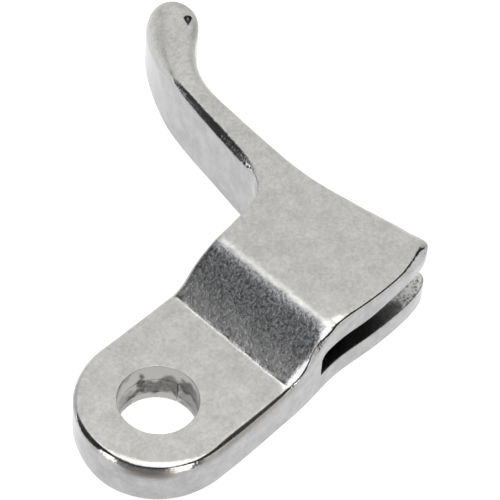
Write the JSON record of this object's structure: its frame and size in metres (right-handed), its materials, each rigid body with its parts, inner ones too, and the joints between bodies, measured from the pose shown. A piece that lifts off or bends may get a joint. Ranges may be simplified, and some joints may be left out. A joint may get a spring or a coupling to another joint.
{
  "type": "cockspur window handle",
  "caption": "Cast steel cockspur lever: pivot eye with a lining bush, raised two-jaw nose with a slot, and a curved finger tail.",
  "frame": {"origin": "on the pivot axis, at the underside face that rests on the window", "axes": "+X from the pivot along the arm to the nose, +Y towards the finger tail, +Z along the pivot axis, away from the window"},
  "size_m": [0.0524, 0.051, 0.0103],
  "materials": {
    "cast_steel": "tumbled satin faces with polished edges and sides",
    "bush_steel": "dull rolled steel with a burnished lower lip"
  },
  "bodies": {
    "bush": {"pivot_bush": "bush_steel"},
    "lever": {"lever": "cast_steel"}
  },
  "joints": [
    {"name": "pivot", "type": "hinge", "parent": "bush", "child": "lever", "pos_m": [0, 0, 0], "axis": [0, 0, 1], "continuous": true}
  ]
}
